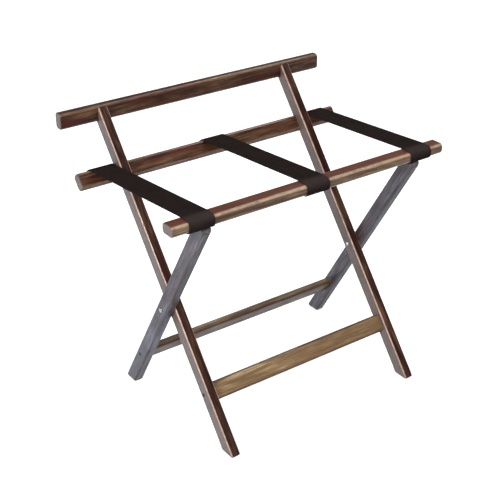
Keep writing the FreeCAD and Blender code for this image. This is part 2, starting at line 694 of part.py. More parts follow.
def strap_tacks(label, turn, y, up):
    body = new_body(label)
    place(body, y=f"{PIVOT_Y} + {y}", z=f"{PIVOT_Z} + {up}", turn=turn)
    pieces = []
    for number, x in enumerate(TACK_X, 1):
        pieces.append(cylinder(body, f"{label}_head_{number}", "tack_head", "tack_head_thick", x,
                               "0", "webbing_clear + webbing_thick"))
        pieces.append(cylinder(body, f"{label}_shank_{number}", "tack_across",
                               "tack_long", x, "0", f"-{TACK_GRIP}"))
    mirror_across(body, pieces)
    return body


strap_tacks("strap_tacks_front", "180", FRONT_TACK_Y, SEAT_UP)
strap_tacks("strap_tacks_rear", "long_lean + 180",
            *long_leg_point(f"{REAR_RAIL_RISE} + rail_wide / 2 - {REAR_TACK_DROP}",
                            f"{REAR_RAIL_AHEAD} - rail_thick / 2"))


# ---- Checks and output ------------------------------------------------------------------------

doc.recompute()
for thing in doc.Objects:
    if "Invalid" in thing.State or "Error" in thing.State:
        raise RuntimeError(f"{thing.Label}: {thing.State}")
for node in nodes:
    if node.Shape.isNull() or not node.Shape.isValid() or not node.Shape.Solids:
        raise RuntimeError(f"{node.Label} has no sound shape")

os.makedirs("parts", exist_ok=True)
for node in nodes:
    node.Shape.exportStep(os.path.join("parts", node.Label + ".step"))
    box = node.Shape.BoundBox
    print(f"{node.Label}: {len(node.Shape.Solids)} solid(s), {node.Shape.Volume:.0f} mm3, "
          f"x {box.XMin:.1f} to {box.XMax:.1f}, y {box.YMin:.1f} to {box.YMax:.1f}, "
          f"z {box.ZMin:.1f} to {box.ZMax:.1f}")
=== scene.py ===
"""Looks of a folding luggage rack with a raised back rail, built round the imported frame: legs,
rails and stretchers of stained and lacquered wood, three black webbing straps, and steel
fasteners. Metres, with +X to the right, +Y to the rear and +Z up.
"""
import json
import math

import bpy
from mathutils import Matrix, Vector, noise


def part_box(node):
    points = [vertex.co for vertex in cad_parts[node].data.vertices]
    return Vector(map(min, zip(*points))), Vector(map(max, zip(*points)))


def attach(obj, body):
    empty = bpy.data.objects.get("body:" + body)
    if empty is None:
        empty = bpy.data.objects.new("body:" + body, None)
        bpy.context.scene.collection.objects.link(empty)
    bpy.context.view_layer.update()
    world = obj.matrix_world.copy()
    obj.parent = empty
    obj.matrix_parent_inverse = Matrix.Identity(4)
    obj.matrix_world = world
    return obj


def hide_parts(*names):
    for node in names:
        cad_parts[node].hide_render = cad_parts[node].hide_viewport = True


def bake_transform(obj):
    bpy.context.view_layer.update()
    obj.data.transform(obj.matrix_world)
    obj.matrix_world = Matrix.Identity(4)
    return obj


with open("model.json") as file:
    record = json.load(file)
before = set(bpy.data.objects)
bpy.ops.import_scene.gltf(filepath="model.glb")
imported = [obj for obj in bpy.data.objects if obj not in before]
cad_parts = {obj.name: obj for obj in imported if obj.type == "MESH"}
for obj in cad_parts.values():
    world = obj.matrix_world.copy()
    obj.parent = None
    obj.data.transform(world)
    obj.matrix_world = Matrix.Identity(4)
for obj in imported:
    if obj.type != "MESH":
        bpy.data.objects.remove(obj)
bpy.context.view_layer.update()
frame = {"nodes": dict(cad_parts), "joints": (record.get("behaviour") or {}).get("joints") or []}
part = frame["nodes"]


# ---- Legs -------------------------------------------------------------------------------------
# Two long and two short straight bars of beech, planed, rounded along the edges and cut level at
# the foot. They are stained to look like walnut and sprayed with a satin lacquer that the open
# grain shows through. Their pale edges are partly stain wear from handling and partly a painted
# highlight, the long legs' paler broad faces are a painted sheen, and the short legs' grey-blue
# tint is a painted sheen of cool light.

leg_half_thick = 0.0098
leg_half_wide = 0.0142
leg_rounding = 0.004
long_leg_lean = math.radians(51.5)
short_leg_lean = math.radians(59.3)
long_leg_across = 0.2124
short_leg_across = 0.2332
pivot = Vector(frame["joints"][0]["pos_m"])


def feed(tree, socket, value):
    """Puts a link or a plain value on a socket; a plain colour is made opaque."""
    if isinstance(value, bpy.types.NodeSocket):
        tree.links.new(value, socket)
    elif socket.type == "RGBA":
        socket.default_value = (*value, 1)
    else:
        socket.default_value = value


def add_node(tree, kind, inputs=None, **settings):
    """A node with its settings, and with a value or a link at each named or numbered input."""
    made = tree.nodes.new(kind)
    for name, value in settings.items():
        setattr(made, name, value)
    for slot, value in (inputs or {}).items():
        feed(tree, made.inputs[slot], value)
    return made


def calc(tree, operation, *terms):
    """The result of one Math node."""
    return add_node(tree, "ShaderNodeMath", dict(enumerate(terms)), operation=operation).outputs[0]


def calc_vector(tree, operation, *terms):
    """The result of one Vector Math node that gives a vector."""
    return add_node(tree, "ShaderNodeVectorMath", dict(enumerate(terms)),
                    operation=operation).outputs[0]


def fade(tree, value, low, high, to_low=0.0, to_high=1.0):
    """A smooth change from one value to another while the input goes from low to high."""
    return add_node(tree, "ShaderNodeMapRange",
                    {"Value": value, "From Min": low, "From Max": high,
                     "To Min": to_low, "To Max": to_high},
                    interpolation_type="SMOOTHSTEP").outputs["Result"]


def blend_colours(tree, share, first, second):
    """Two colours mixed by a share. Inputs 6 and 7 of a Mix node are its colours."""
    return add_node(tree, "ShaderNodeMix", {0: share, 6: first, 7: second},
                    data_type="RGBA").outputs[2]


def cloud(tree, vector, scale, detail=2.0, roughness=0.5):
    """Noise from 0 to 1."""
    return add_node(tree, "ShaderNodeTexNoise",
                    {"Vector": vector, "Scale": scale, "Detail": detail, "Roughness": roughness}
                    ).outputs["Fac"]


def new_group(name, inputs, outputs):
    """An empty shader group: its tree, the sockets that come in and the sockets that go out."""
    group = bpy.data.node_groups.new(name, "ShaderNodeTree")
    for title, kind, value in inputs:
        socket = group.interface.new_socket(title, in_out="INPUT", socket_type=kind)
        if value is not None:
            socket.default_value = value
    for title, kind in outputs:
        group.interface.new_socket(title, in_out="OUTPUT", socket_type=kind)
    return (group, group.nodes.new("NodeGroupInput").outputs,
            group.nodes.new("NodeGroupOutput").inputs)


def place_group(tree, group, inputs):
    """A shader group placed in a material; gives its outputs by name."""
    return add_node(tree, "ShaderNodeGroup", inputs, node_tree=group).outputs


# Fibres run along Z. Streaks are the dark and light bands of the stain, Figure the slow changes
# along a board, Patches where the stain took redder, and Pores the short dark dashes of open grain.
wood_grain, given, wanted = new_group(
    "wood_grain",
    (("Vector", "NodeSocketVector", None), ("Seed", "NodeSocketFloat", 0.0)),
    (("Streaks", "NodeSocketFloat"), ("Figure", "NodeSocketFloat"), ("Patches", "NodeSocketFloat"),
     ("Pores", "NodeSocketFloat"), ("Fibres", "NodeSocketFloat")))
seed_way = (0.37, 0.61, 5.3)
streak_stretch = (1.0, 1.0, 0.05)
figure_stretch = (1.0, 1.0, 0.22)
sway_reach = (0.016, 0.016, 0.0)
seed_everywhere = add_node(wood_grain, "ShaderNodeCombineXYZ",
                           {0: given["Seed"], 1: given["Seed"], 2: given["Seed"]}).outputs[0]
seeded = calc_vector(wood_grain, "MULTIPLY_ADD", seed_everywhere, seed_way, given["Vector"])
drawn_out = calc_vector(wood_grain, "MULTIPLY", seeded, streak_stretch)
sway = add_node(wood_grain, "ShaderNodeTexNoise",
                {"Vector": drawn_out, "Scale": 22.0, "Detail": 1.0}).outputs["Color"]
swaying = calc_vector(wood_grain, "MULTIPLY_ADD", sway, sway_reach, drawn_out)
slow = calc_vector(wood_grain, "MULTIPLY", seeded, figure_stretch)
for output, vector, scale, detail, roughness, low, high in (
        ("Streaks", swaying, 340.0, 3.0, 0.62, 0.32, 0.67),
        ("Figure", slow, 62.0, 3.0, 0.55, 0.36, 0.64),
        ("Patches", slow, 24.0, 2.0, 0.6, 0.42, 0.60),
        ("Pores", swaying, 1500.0, 1.0, 0.5, 0.58, 0.72)):
    wood_grain.links.new(
        fade(wood_grain, cloud(wood_grain, vector, scale, detail, roughness), low, high),
        wanted[output])
wood_grain.links.new(cloud(wood_grain, drawn_out, 900.0), wanted["Fibres"])

# A bar is measured through its thickness along X and over its width along Y. Edge band is near 1
# along its rounded edges, a little patchy, and Broad is 1 on its two broad faces. On the legs and
# rails the pale colour laid on the edge band is partly stain wear and partly a painted highlight.
bar_edges, given, wanted = new_group(
    "bar_edges",
    (("Vector", "NodeSocketVector", None), ("Half thin", "NodeSocketFloat", 0.01),
     ("Half broad", "NodeSocketFloat", 0.01), ("Rounding", "NodeSocketFloat", 0.004)),
    (("Edge band", "NodeSocketFloat"), ("Broad", "NodeSocketFloat")))
sides = add_node(bar_edges, "ShaderNodeSeparateXYZ", {0: given["Vector"]}).outputs
past_flat = []
for i, half in ((0, "Half thin"), (1, "Half broad")):
    past_side = calc(bar_edges, "SUBTRACT", calc(bar_edges, "ABSOLUTE", sides[i]), given[half])
    past_flat.append(calc(bar_edges, "DIVIDE",
                          calc(bar_edges, "ADD", past_side, given["Rounding"]),
                          given["Rounding"]))
edge = fade(bar_edges, calc(bar_edges, "MINIMUM", *past_flat), 0.22, 0.66)
bar_edges.links.new(fade(bar_edges, past_flat[0], 0.7, 0.98), wanted["Broad"])
patchy = fade(bar_edges, cloud(bar_edges, given["Vector"], 75.0, 3.0, 0.6), 0.3, 0.62, 0.6, 1.0)
bar_edges.links.new(calc(bar_edges, "MULTIPLY", edge, patchy), wanted["Edge band"])

# Uneven gloss where a surface has been handled and wiped, from 0 to 1.
handling, given, wanted = new_group(
    "handling", (("Vector", "NodeSocketVector", None), ("Scale", "NodeSocketFloat", 30.0)),
    (("Smears", "NodeSocketFloat"), ("Specks", "NodeSocketFloat")))
handling.links.new(fade(handling, cloud(handling, given["Vector"], given["Scale"], 4.0, 0.6),
                        0.32, 0.68), wanted["Smears"])
speck_scale = calc(handling, "MULTIPLY", given["Scale"], 30.0)
handling.links.new(fade(handling, cloud(handling, given["Vector"], speck_scale, 1.0), 0.66, 0.74),
                   wanted["Specks"])


def finish_of(name):
    """A new material, its tree and its Principled shader."""
    material = bpy.data.materials.new(name)
    material.use_nodes = True
    return material, material.node_tree, material.node_tree.nodes["Principled BSDF"]


def add_bump(tree, shader, height, strength, distance):
    """Fine relief from a height."""
    bump = add_node(tree, "ShaderNodeBump",
                    {"Strength": strength, "Distance": distance, "Height": height})
    tree.links.new(bump.outputs[0], shader.inputs["Normal"])


def own_place(tree):
    """Where each point of a piece is."""
    return add_node(tree, "ShaderNodeTexCoord").outputs["Object"]


# The grain of the left and the right bar of a pair is taken from places this far apart.
grain_apart = 1.9
# Bar ends are painted paler: partly end grain and partly a painted highlight.
end_grain_and_highlight_colour = (0.112, 0.084, 0.064)
end_grain_from, end_grain_full = 0.0016, 0.0002
streak_depth = 0.75
pore_depth = 0.55
pore_darkness = 0.35
lacquer_roughness = 0.34
smear_roughness = 0.12
pore_roughness = 0.18
grain_relief = 0.0003


def stained_wood(name, middle, turn, fibres, section, seed, bar_colours, edge_share, across=None,
                 end_at=None, broad_colour=None):
    """Stained, lacquered wood on a straight bar. Fibres run along the bar's own X or Z, the section
    is half its thickness, half its width and its rounding, and the colours given are the dark, red,
    brown and pale ones and the one on the edges; on the legs and rails that edge colour is partly
    stain wear and partly a painted highlight. With across, the bar stands that far to each side of
    the middle plane, with end_at it is paler at its ends, that far from its middle, partly end
    grain and partly a painted highlight, and with broad_colour its broad faces get another colour:
    a painted sheen on the long legs' sides, and on the front rail the dark stain of its top and
    underside against a painted reflection on its narrow faces."""
    half_thin, half_broad, rounding = section
    dark, red, brown, pale, edge_colour = bar_colours
    material, tree, shader = finish_of(name)
    own = add_node(tree, "ShaderNodeMapping",
                   {"Vector": own_place(tree), "Location": middle, "Rotation": (turn, 0, 0)},
                   vector_type="TEXTURE").outputs[0]
    x, y, z = add_node(tree, "ShaderNodeSeparateXYZ", {0: own}).outputs
    if fibres == "Z":
        thin, broad = calc(tree, "SUBTRACT", calc(tree, "ABSOLUTE", x), across), y
        along = calc(tree, "MULTIPLY_ADD", calc(tree, "SIGN", x), grain_apart, z)
    else:
        thin, broad, along = y, z, x
    bar = add_node(tree, "ShaderNodeCombineXYZ", {0: thin, 1: broad, 2: along}).outputs[0]
    grain = place_group(tree, wood_grain, {"Vector": bar, "Seed": float(seed)})
    edges = place_group(tree, bar_edges, {"Vector": bar, "Half thin": half_thin,
                                          "Half broad": half_broad, "Rounding": rounding})
    touch = place_group(tree, handling, {"Vector": bar, "Scale": 34.0})

    stain = blend_colours(tree, grain["Patches"], brown, red)
    stain = blend_colours(tree, calc(tree, "MULTIPLY", grain["Streaks"], streak_depth), dark, stain)
    lighter = calc(tree, "MULTIPLY", grain["Figure"],
                   fade(tree, grain["Streaks"], 0.2, 1.0, 0.15, 0.8))
    lighter = calc(tree, "MULTIPLY", lighter, fade(tree, grain["Patches"], 0.0, 1.0, 1.0, 0.25))
    stain = blend_colours(tree, lighter, stain, pale)
    # Broad faces in another colour: a painted sheen on the long legs, and on the front rail the
    # dark stain against a painted reflection on the narrow faces.
    if broad_colour:
        on_broad = calc(tree, "MULTIPLY", edges["Broad"],
                        fade(tree, grain["Streaks"], 0.0, 1.0, 0.95, 0.78))
        stain = blend_colours(tree, on_broad, stain, broad_colour)
    # Colour along the rounded edges: on the legs and rails a pale one, partly stain wear and partly
    # a painted highlight; on the stretchers a darker one.
    on_edge_band = calc(tree, "MULTIPLY", edges["Edge band"], edge_share)
    stain = blend_colours(tree, on_edge_band, stain, edge_colour)
    # Paler at the ends: partly end grain and partly a painted highlight.
    if end_at:
        at_end = fade(tree, calc(tree, "ABSOLUTE", along), end_at - end_grain_from,
                      end_at - end_grain_full)
        dotted = fade(tree, grain["Fibres"], 0.35, 0.65, 0.35, 0.8)
        stain = blend_colours(tree, calc(tree, "MULTIPLY", at_end, dotted), stain,
                              end_grain_and_highlight_colour)
    stain = blend_colours(tree, calc(tree, "MULTIPLY", grain["Pores"], pore_depth), stain,
                          tuple(c * pore_darkness for c in dark))
    tree.links.new(stain, shader.inputs["Base Color"])

    wiped = calc(tree, "MULTIPLY_ADD", touch["Smears"], smear_roughness, lacquer_roughness)
    tree.links.new(calc(tree, "MULTIPLY_ADD", grain["Pores"], pore_roughness, wiped),
                   shader.inputs["Roughness"])
    shader.inputs["Specular IOR Level"].default_value = 0.25
    shader.inputs["Coat Weight"].default_value = 0.16
    shader.inputs["Coat Roughness"].default_value = 0.12
    raised = calc(tree, "MULTIPLY_ADD", grain["Fibres"], 0.5,
                  calc(tree, "MULTIPLY", touch["Specks"], 0.25))
    height = calc(tree, "MULTIPLY_ADD", grain["Pores"], -0.6, raised)
    add_bump(tree, shader, height, 0.35, grain_relief)
    return material


def give_finish(node_name, material):
    """Puts a material on every slot of a part that is shown as designed."""
    slots = part[node_name].material_slots
    for slot in slots:
        slot.link = "OBJECT"
        slot.material = material
    if not slots:
        part[node_name].data.materials.append(material)


leg_section = (leg_half_thick, leg_half_wide, leg_rounding)
# Long legs: the last, pale colour on the edges is partly stain wear and partly a painted highlight.
long_leg_stains_and_edge_highlight = ((0.006, 0.0020, 0.0015), (0.044, 0.0090, 0.0055), (0.041, 0.013, 0.0068),
                   (0.070, 0.033, 0.017), (0.46, 0.29, 0.22))
# Short legs: their grey-blue tint is a painted sheen of cool light over a dark stain.
short_leg_stains_and_sheen = ((0.030, 0.022, 0.023), (0.072, 0.044, 0.043), (0.078, 0.071, 0.079),
                    (0.122, 0.112, 0.118), (0.075, 0.055, 0.045))
# The long legs' paler broad faces are a painted sheen of light on their sides.
long_leg_wood = stained_wood(
    "long_leg_wood", pivot, long_leg_lean - math.pi / 2, "Z", leg_section, 1, long_leg_stains_and_edge_highlight,
    0.75, across=long_leg_across, broad_colour=(0.105, 0.074, 0.058))
short_leg_wood = stained_wood(
    "short_leg_wood", pivot, math.pi / 2 - short_leg_lean, "Z", leg_section, 2, short_leg_stains_and_sheen,
    0.5, across=short_leg_across)
for side in ("left", "right"):
    give_finish("long_leg_" + side, long_leg_wood)
    give_finish("short_leg_" + side, short_leg_wood)


# ---- Rails ------------------------------------------------------------------------------------
# Three equal bars with larger roundings than the legs. The front seat rail lies flat on the short
# legs and has a paler nose, the rear one is let into the long legs at their slope, and the back
# rail stands upright. Each is cut from its own board, so the grain differs. The front seat rail's
# tan narrow faces are a painted reflection below its dark red top, and the pale nose and the pale
# line on the edges of all three are partly stain wear and partly a painted highlight.

rail_half_thick = 0.01025
rail_half_wide = 0.016
rail_rounding = 0.0075
half_length = 0.3
rail_section = (rail_half_thick, rail_half_wide, rail_rounding)
# Rear and back rails; the last, pale colour on the edges is partly stain wear and partly a painted
# highlight.
red_brown_stains_and_edge_highlight = ((0.010, 0.0030, 0.0020), (0.070, 0.011, 0.005), (0.078, 0.027, 0.009),
                    (0.098, 0.052, 0.024), (0.44, 0.31, 0.205))
# Front seat rail: the tan stands for a painted reflection on its narrow faces, and the pale edge
# colour is partly stain wear and partly a painted highlight.
tan_stains_and_reflection = ((0.030, 0.014, 0.008), (0.095, 0.048, 0.026), (0.125, 0.078, 0.042),
              (0.185, 0.125, 0.072), (0.44, 0.31, 0.205))
rails = (("front_seat_rail", math.pi / 2, tan_stains_and_reflection, 0.55, (0.062, 0.0122, 0.0032)),
         ("rear_seat_rail", long_leg_lean - math.pi / 2, red_brown_stains_and_edge_highlight, 0.2, None),
         ("back_rail", 0.0, red_brown_stains_and_edge_highlight, 0.12, None))


def middle_of(node_name):
    """The middle of a part's box."""
    low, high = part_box(node_name)
    return (low + high) / 2


for seed, (rail_name, turn, bar_colours, edge_share, broad_colour) in enumerate(rails, 5):
    give_finish(rail_name, stained_wood(
        rail_name + "_wood", middle_of(rail_name), turn, "X", rail_section, seed, bar_colours,
        edge_share, end_at=half_length, broad_colour=broad_colour))


# ---- Stretchers -------------------------------------------------------------------------------
# Two thinner, wider slats with nearly half-round edges, screwed between the legs. They are paler on
# the broad faces and darker along the edges, and the rear one is darker than the front one.

stretcher_section = (0.0075, 0.01775, 0.006)
front_slat_stains = ((0.092, 0.054, 0.026), (0.145, 0.082, 0.038), (0.195, 0.127, 0.060),
                     (0.30, 0.21, 0.108), (0.040, 0.013, 0.008))
rear_slat_stains = ((0.050, 0.030, 0.017), (0.085, 0.048, 0.026), (0.112, 0.074, 0.040),
                    (0.19, 0.13, 0.072), (0.040, 0.013, 0.008))

for seed, stretcher, turn, bar_colours in (
        (11, "front_stretcher", long_leg_lean - math.pi / 2, front_slat_stains),
        (12, "rear_stretcher", math.pi / 2 - short_leg_lean, rear_slat_stains)):
    give_finish(stretcher, stained_wood(
        stretcher + "_wood", middle_of(stretcher), turn, "X", stretcher_section, seed, bar_colours,
        0.95))


# ---- Rail dowels ------------------------------------------------------------------------------
# Bought beech pegs with a milled surface, glued half in the leg and half in the rail. They are out
# of sight in the finished rack, so they are neither stained nor lacquered.

beech, tree, shader = finish_of("dowel_beech")
grain = place_group(tree, wood_grain, {"Vector": own_place(tree), "Seed": 21.0})
tree.links.new(blend_colours(tree, grain["Streaks"], (0.46, 0.29, 0.16), (0.62, 0.44, 0.28)),
               shader.inputs["Base Color"])
tree.links.new(fade(tree, grain["Fibres"], 0.3, 0.7, 0.55, 0.75), shader.inputs["Roughness"])
add_bump(tree, shader, grain["Fibres"], 0.5, 0.0002)
for dowels in ("front_rail_dowels", "rear_rail_dowels", "back_rail_dowels"):
    give_finish(dowels, beech)


# ---- Pivot washers ----------------------------------------------------------------------------
# Thin nylon rings between a short and a long leg, which keep the lacquered faces from rubbing.
# They are moulded in off-black, with a fine matt skin.

nylon, tree, shader = finish_of("washer_nylon")
touch = place_group(tree, handling, {"Vector": own_place(tree), "Scale": 160.0})
tree.links.new(blend_colours(tree, touch["Smears"], (0.020, 0.019, 0.018), (0.034, 0.032, 0.030)),
               shader.inputs["Base Color"])
tree.links.new(fade(tree, touch["Smears"], 0.0, 1.0, 0.42, 0.58), shader.inputs["Roughness"])
add_bump(tree, shader, touch["Specks"], 0.2, 0.0001)
for side in ("left", "right"):
    give_finish("pivot_washer_" + side, nylon)


# ---- Pivot bolts and cap nuts -----------------------------------------------------------------
# A shouldered bolt and a sleeved cap nut hold each crossing, with low domed heads and a small hex
# socket. They are turned steel, nickel plated, with dull patches and fine scratches.

head_radius = 0.0043
head_height = 0.0018
shank_radius = 0.003
thread_radius = 0.002
bolt_shank_long = 0.0264
bolt_whole_long = 0.0364
nut_sleeve_long = 0.014
nut_bore_radius = 0.00205
end_chamfer = 0.0003
rim_chamfer = 0.00015
socket_flats = 0.0027
socket_depth = 0.0011
dome_height = 0.00012
bolt_pitch = 0.0007
thread_root_share = 0.86
turned_sides = 48


def corner_radius(angle, corners, half_flats):
    """How far a regular polygon's edge is from its middle at an angle."""
    step = 2 * math.pi / corners
    return half_flats / math.cos((angle % step) - step / 2)


def put_in_scene(name, data):
    """A new object in the scene with the given data."""
    piece = bpy.data.objects.new(name, data)
    bpy.context.scene.collection.objects.link(piece)
    return piece


def turned(name, rings):
    """A closed turned piece about Z. Each ring is its height and either a radius or a rule that
    gives the radius at an angle; the first and last rings are closed with a point."""
    points, faces = [], []
    for height, radius in rings:
        for i in range(turned_sides):
            angle = 2 * math.pi * i / turned_sides
            r = radius(angle) if callable(radius) else radius
            points.append((r * math.cos(angle), r * math.sin(angle), height))
    sides = [(i, (i + 1) % turned_sides) for i in range(turned_sides)]
    for ring in range(len(rings) - 1):
        base = ring * turned_sides
        above = base + turned_sides
        faces += [(base + a, above + a, above + b, base + b) for a, b in sides]
    for ring, order in ((0, 1), (len(rings) - 1, -1)):
        points.append((0, 0, rings[ring][0]))
        base, tip = ring * turned_sides, len(points) - 1
        faces += [(base + a, base + b, tip)[::order] for a, b in sides]
    mesh = bpy.data.meshes.new(name)
    mesh.from_pydata(points, [], faces)
    mesh.shade_smooth()
    mesh.set_sharp_from_angle(angle=math.radians(38))
    return put_in_scene(name, mesh)


def domed_head(radius, height, recess):
    """Rings from the floor of a recess out over a low dome to the rim's underside."""
    rings = [(height - socket_depth, lambda a: recess(a) * 0.15),
             (height - socket_depth, recess), (height - 0.0001, recess),
             (height, lambda a: recess(a) + 0.00012)]
    edge_radius = height * 0.62
    top_radius = radius - edge_radius
    dome_start, dome_rings, edge_rings = 0.0021, 4, 6
    for i in range(1, dome_rings + 1):
        r = dome_start + (top_radius - dome_start) * i / dome_rings
        rings.append((height - dome_height * (r / top_radius) ** 2, r))
    for i in range(1, edge_rings + 1):
        turn = math.pi / 2 * i / edge_rings
        rings.append((height - dome_height - edge_radius * (1 - math.cos(turn)),
                      top_radius + edge_radius * math.sin(turn)))
    rings += [(rim_chamfer, radius), (0.0, radius - rim_chamfer)]
    return rings


def hex_socket(angle):
    """How far the wall of the hex socket is from the middle."""
    return corner_radius(angle, 6, socket_flats / 2)


def threaded(from_height, to_height, radius, pitch):
    """Rings of a threaded length, crest and root in turn."""
    turns = int(abs(to_height - from_height) / pitch)
    step = (to_height - from_height) / turns
    rings = []
    for i in range(turns):
        rings += [(from_height + step * i, radius),
                  (from_height + step * (i + 0.5), radius * thread_root_share)]
    return rings


bolt_thread_end = -bolt_whole_long + 0.0004
bolt_shape = turned("bolt_shape", domed_head(head_radius, head_height, hex_socket) + [
    (0.0, shank_radius), (-bolt_shank_long + end_chamfer, shank_radius),
    (-bolt_shank_long, shank_radius - end_chamfer), (-bolt_shank_long, thread_radius)]
    + threaded(-bolt_shank_long, bolt_thread_end, thread_radius, bolt_pitch)
    + [(bolt_thread_end, thread_radius), (-bolt_whole_long, thread_radius * 0.75)])
nut_shape = turned("nut_shape", domed_head(head_radius, head_height, hex_socket) + [
    (0.0, shank_radius), (-nut_sleeve_long + end_chamfer, shank_radius),
    (-nut_sleeve_long, shank_radius - end_chamfer), (-nut_sleeve_long, nut_bore_radius),
    (-0.0045, nut_bore_radius), (-0.0038, 0.0004)])

# Sets one fastener at each place, its head along the place's way out. It is turned about its own
# axis at random, and leans by up to the given angle.
set_fasteners = bpy.data.node_groups.new("set_fasteners", "GeometryNodeTree")
for title, kind in (("Places", "NodeSocketGeometry"), ("Fastener", "NodeSocketObject"),
                    ("Lean", "NodeSocketFloat"), ("Seed", "NodeSocketInt"),
                    ("Finish", "NodeSocketMaterial")):
    set_fasteners.interface.new_socket(title, in_out="INPUT", socket_type=kind)
set_fasteners.interface.new_socket("Fasteners", in_out="OUTPUT", socket_type="NodeSocketGeometry")
given = set_fasteners.nodes.new("NodeGroupInput").outputs
way_out = add_node(set_fasteners, "GeometryNodeInputNamedAttribute", data_type="FLOAT_VECTOR",
                   inputs={"Name": "way_out"}).outputs["Attribute"]
facing = add_node(set_fasteners, "FunctionNodeAlignRotationToVector", {"Vector": way_out},
                  axis="Z").outputs[0]
least_lean = calc(set_fasteners, "MULTIPLY", given["Lean"], -1.0)
lowest = add_node(set_fasteners, "ShaderNodeCombineXYZ",
                  {0: least_lean, 1: least_lean, 2: -math.pi}).outputs[0]
highest = add_node(set_fasteners, "ShaderNodeCombineXYZ",
                   {0: given["Lean"], 1: given["Lean"], 2: math.pi}).outputs[0]
chance = add_node(set_fasteners, "FunctionNodeRandomValue",
                  {"Min": lowest, "Max": highest, "Seed": given["Seed"]},
                  data_type="FLOAT_VECTOR").outputs[0]
own_turn = add_node(set_fasteners, "FunctionNodeEulerToRotation", {0: chance}).outputs[0]
turn = add_node(set_fasteners, "FunctionNodeRotateRotation", {0: facing, 1: own_turn},
                rotation_space="LOCAL").outputs[0]
shape = add_node(set_fasteners, "GeometryNodeObjectInfo",
                 {"Object": given["Fastener"]}).outputs["Geometry"]
placed = add_node(set_fasteners, "GeometryNodeInstanceOnPoints",
                  {"Points": given["Places"], "Instance": shape, "Rotation": turn}).outputs[0]
real = add_node(set_fasteners, "GeometryNodeRealizeInstances", {0: placed}).outputs[0]
finished = add_node(set_fasteners, "GeometryNodeSetMaterial",
                    {"Geometry": real, "Material": given["Finish"]}).outputs[0]
set_fasteners.links.new(finished, set_fasteners.nodes.new("NodeGroupOutput").inputs[0])


def fastened(name, fastener, places, finish, body, replaced, lean=0.0, seed=1):
    """Fasteners at places, each a point and a way out, as one plain piece that rides on a body."""
    mesh = bpy.data.meshes.new(name + "_places")
    mesh.from_pydata([tuple(point) for point, _ in places], [], [])
    mesh.attributes.new("way_out", "FLOAT_VECTOR", "POINT").data.foreach_set(
        "vector", [c for _, out in places for c in out])
    holder = put_in_scene(name + "_holder", mesh)
    modifier = holder.modifiers.new("set", "NODES")
    modifier.node_group = set_fasteners
    values = {"Fastener": fastener, "Lean": lean, "Seed": seed, "Finish": finish}
    for item in set_fasteners.interface.items_tree:
        if item.in_out == "INPUT" and item.name in values:
            modifier[item.identifier] = values[item.name]
    bpy.context.view_layer.update()
    made = bpy.data.meshes.new_from_object(
        holder.evaluated_get(bpy.context.evaluated_depsgraph_get()))
    bpy.data.objects.remove(holder)
    piece = put_in_scene(name, made)
    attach(piece, body)
    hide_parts(*replaced)


# Fine scratches and dull patches on metal.
metal_wear, given, wanted = new_group(
    "metal_wear", (("Vector", "NodeSocketVector", None), ("Scale", "NodeSocketFloat", 600.0)),
    (("Scratches", "NodeSocketFloat"), ("Dull", "NodeSocketFloat")))
scratch_lines = calc_vector(metal_wear, "MULTIPLY", given["Vector"], (1.0, 9.0, 3.0))
metal_wear.links.new(
    fade(metal_wear, cloud(metal_wear, scratch_lines, given["Scale"]), 0.60, 0.66),
    wanted["Scratches"])
metal_wear.links.new(fade(metal_wear, cloud(metal_wear, given["Vector"], given["Scale"], 3.0),
                          0.35, 0.65), wanted["Dull"])


def plated_steel(name, bright, tarnished, smooth, rough):
    """Plated steel with fine scratches and a little tarnish."""
    material, tree, shader = finish_of(name)
    wear = place_group(tree, metal_wear, {"Vector": own_place(tree), "Scale": 420.0})
    tree.links.new(blend_colours(tree, wear["Dull"], bright, tarnished),
                   shader.inputs["Base Color"])
    gloss = fade(tree, wear["Dull"], 0.0, 1.0, smooth, rough)
    tree.links.new(calc(tree, "MULTIPLY_ADD", wear["Scratches"], 0.12, gloss),
                   shader.inputs["Roughness"])
    shader.inputs["Metallic"].default_value = 1.0
    add_bump(tree, shader, wear["Scratches"], 0.15, 0.00005)
    return material


nickel = plated_steel("pivot_nickel", (0.78, 0.76, 0.72), (0.60, 0.57, 0.52), 0.14, 0.26)
for side, out in (("left", Vector((-1, 0, 0))), ("right", Vector((1, 0, 0)))):
    bolt_face = pivot + out * (short_leg_across + leg_half_thick)
    nut_face = pivot + out * (long_leg_across - leg_half_thick)
    fastened("bolt_" + side, bolt_shape, [(bolt_face, out)], nickel, "back_frame",
             ["pivot_bolt_" + side], seed=3)
    fastened("cap_nut_" + side, nut_shape, [(nut_face, -out)], nickel, "back_frame",
             ["pivot_nut_" + side], seed=4)


# ---- Stretcher screws -------------------------------------------------------------------------
# One wood screw goes through each leg into the end of its stretcher. The head, with a cross
# recess, is sunk in a bored seat in the leg's outer face. They are steel, blackened by a bronze
# coloured plating.

screw_head_radius = 0.0035
screw_head_thick = 0.00175
screw_shank_radius = 0.0018
screw_long = 0.045
screw_tip_long = 0.005
screw_pitch = 0.0016
screw_sunk = 0.0016


def cross_recess(angle):
    """How far the wall of the cross recess is from the middle."""
    lobe = abs(math.cos(2 * angle)) ** 6
    return 0.0006 + 0.0011 * lobe


